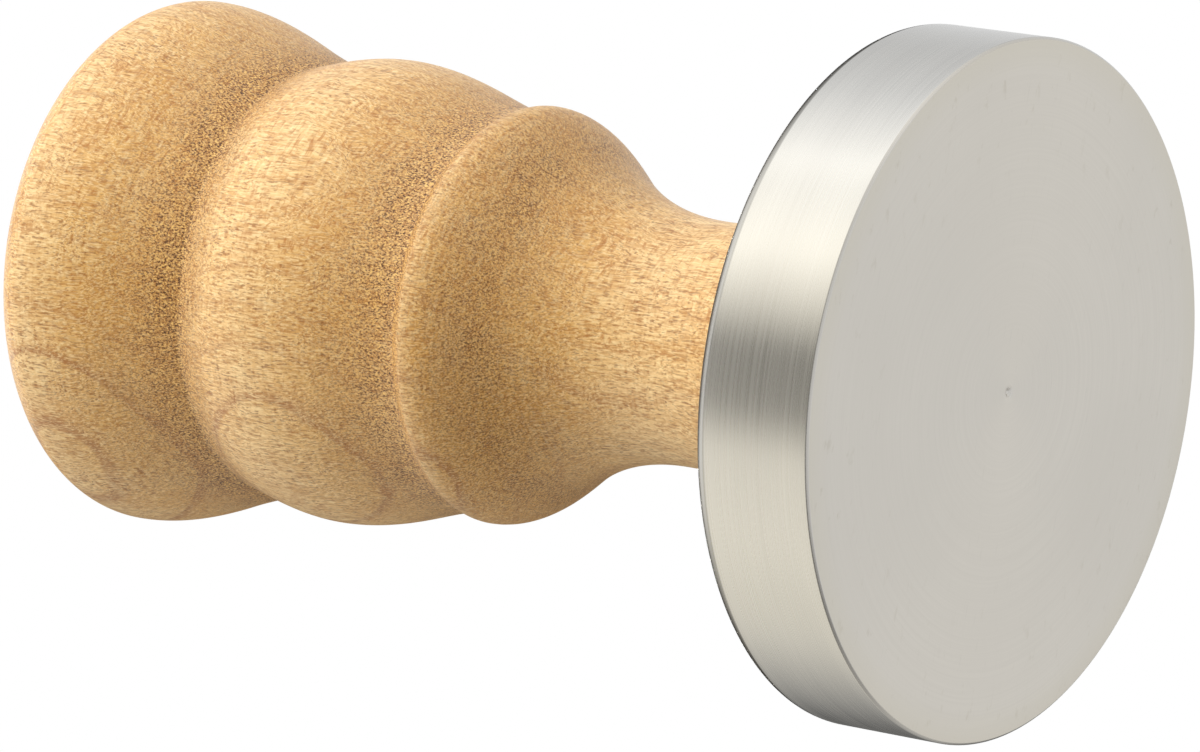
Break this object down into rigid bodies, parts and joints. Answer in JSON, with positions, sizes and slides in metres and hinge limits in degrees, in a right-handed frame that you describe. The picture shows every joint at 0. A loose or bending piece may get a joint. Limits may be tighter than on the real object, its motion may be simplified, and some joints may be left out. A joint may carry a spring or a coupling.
{
  "type": "espresso tamper",
  "caption": "Hand tamper for espresso: a round flat-faced stainless-steel base under a three-tiered turned maple handle that unscrews from it.",
  "frame": {"origin": "centre of the flat tamping face", "axes": "+Z along the tamper's axis of symmetry, from the tamping face up through the handle"},
  "size_m": [0.058, 0.058, 0.0947],
  "materials": {
    "base_steel": "fine turned and brushed stainless steel",
    "stud_steel": "plain steel thread",
    "washer_steel": "plain stainless steel",
    "insert_brass": "machined brass",
    "handle_maple": "satin oiled maple"
  },
  "bodies": {
    "base": {"base": "base_steel", "stud": "stud_steel"},
    "washer": {"washer": "washer_steel"},
    "handle": {"handle": "handle_maple", "threaded_insert": "insert_brass"}
  },
  "joints": [
    {"name": "washer_lift", "type": "slide", "parent": "base", "child": "washer", "axis": [0, 0, 1], "range_m": [0, 0.0101]},
    {"name": "handle_unscrew", "type": "hinge", "parent": "washer", "child": "handle", "pos_m": [0, 0, 0.0123], "axis": [0, 0, 1], "range_deg": [0, 2880]}
  ],
  "couplings": [
    {"joint": "washer_lift", "follows": "handle_unscrew", "m_per_rad": 0.00019894}
  ]
}
